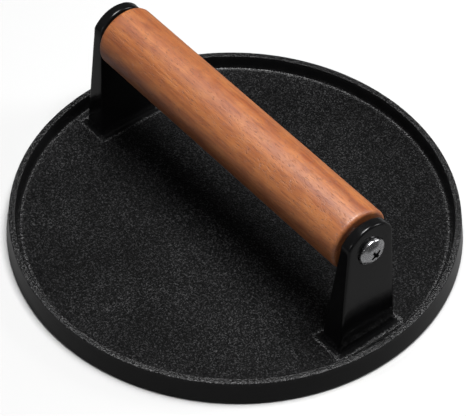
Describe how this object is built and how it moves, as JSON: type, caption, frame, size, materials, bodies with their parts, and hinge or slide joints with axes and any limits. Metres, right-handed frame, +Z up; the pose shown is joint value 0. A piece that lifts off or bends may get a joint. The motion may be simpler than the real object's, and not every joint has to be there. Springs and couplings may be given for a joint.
{
  "type": "patty press",
  "caption": "Round cast-iron patty press: a flat disc with a raised rim and two uprights that hold a turned wooden grip, free to turn on a screwed steel rod.",
  "frame": {"origin": "middle of the flat underside", "axes": "+Z up, +X along the handle towards the right-hand upright, +Y across the handle"},
  "size_m": [0.181, 0.181, 0.065],
  "materials": {
    "cast_iron": "black seasoned casting, semi-gloss uprights, grainy floor",
    "wood": "reddish-brown hardwood, oiled satin",
    "steel": "satin bright steel"
  },
  "bodies": {
    "press": {"press_plate": "cast_iron", "tie_rod": "steel", "right_screw": "steel", "left_screw": "steel"},
    "grip": {"wooden_grip": "wood"}
  },
  "joints": [
    {"name": "grip_spin", "type": "hinge", "parent": "press", "child": "grip", "pos_m": [0, 0, 0.0519], "axis": [1, 0, 0], "continuous": true}
  ]
}
